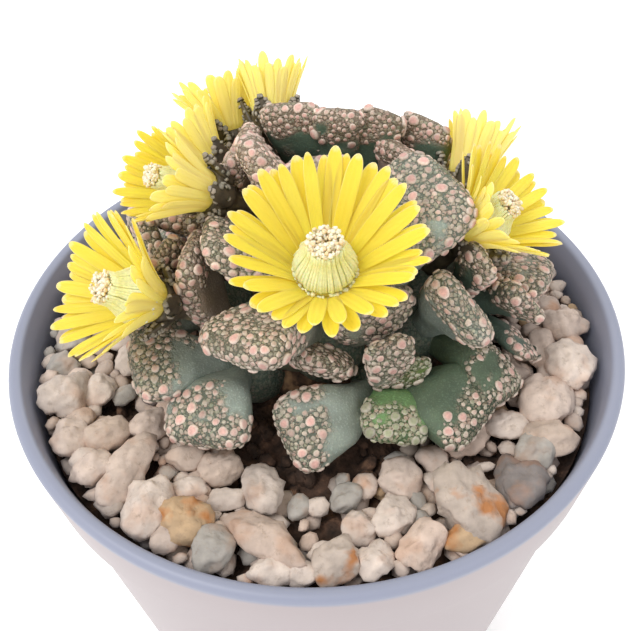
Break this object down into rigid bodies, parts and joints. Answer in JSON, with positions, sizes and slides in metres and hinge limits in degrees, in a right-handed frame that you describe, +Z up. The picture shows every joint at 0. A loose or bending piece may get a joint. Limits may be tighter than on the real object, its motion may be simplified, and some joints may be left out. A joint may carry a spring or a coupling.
{
  "type": "potted titanopsis calcarea",
  "caption": "Crowded clump of blunt, warty-leaved succulent heads with yellow daisy-like flowers, in a round tapering plastic pot of soil dressed with pale gravel.",
  "frame": {"origin": "middle of the pot's foot, on the surface that the pot stands on", "axes": "+Z straight up the pot, -Y towards the front flower and the viewer, +X to the viewer's right"},
  "size_m": [0.07, 0.07, 0.088],
  "materials": {
    "pot_plastic": "smooth satin injection-moulded plastic, blue-grey at the rim and inside, pale outside",
    "potting_soil": "matt crumbly peat and bark",
    "pumice_gravel": "matt pale pumice and river grit with ochre and grey grains",
    "corky_root": "matt brown corky skin with dry leaf remains",
    "leaf_skin": "matt blue-green to grey-green skin set with pinkish limy warts",
    "calyx_skin": "satin brown-green fleshy skin with warty tips",
    "petal": "silky thin petals",
    "stamen": "pale green filaments with cream pollen-dusted anthers"
  },
  "bodies": {
    "root": {"pot": "pot_plastic", "soil": "potting_soil", "gravel": "pumice_gravel", "rootstock": "corky_root", "head_front_crown": "leaf_skin", "head_front_left": "leaf_skin", "head_front_right": "leaf_skin", "head_right_front": "leaf_skin", "head_right": "leaf_skin", "head_top_right": "leaf_skin", "head_left": "leaf_skin", "head_upper_left": "leaf_skin", "head_top": "leaf_skin", "head_back_left": "leaf_skin", "head_back": "leaf_skin", "head_back_right": "leaf_skin", "flower_front_calyx": "calyx_skin", "flower_front_petals": "petal", "flower_front_stamens": "stamen", "flower_left_calyx": "calyx_skin", "flower_left_petals": "petal", "flower_left_stamens": "stamen", "flower_upper_left_calyx": "calyx_skin", "flower_upper_left_petals": "petal", "flower_upper_left_stamens": "stamen", "flower_back_left_calyx": "calyx_skin", "flower_back_left_petals": "petal", "flower_back_left_stamens": "stamen", "flower_top_left_calyx": "calyx_skin", "flower_top_left_petals": "petal", "flower_top_left_stamens": "stamen", "flower_top_calyx": "calyx_skin", "flower_top_petals": "petal", "flower_top_stamens": "stamen", "flower_right_calyx": "calyx_skin", "flower_right_petals": "petal", "flower_right_stamens": "stamen", "flower_back_right_calyx": "calyx_skin", "flower_back_right_petals": "petal", "flower_back_right_stamens": "stamen"}
  },
  "joints": []
}
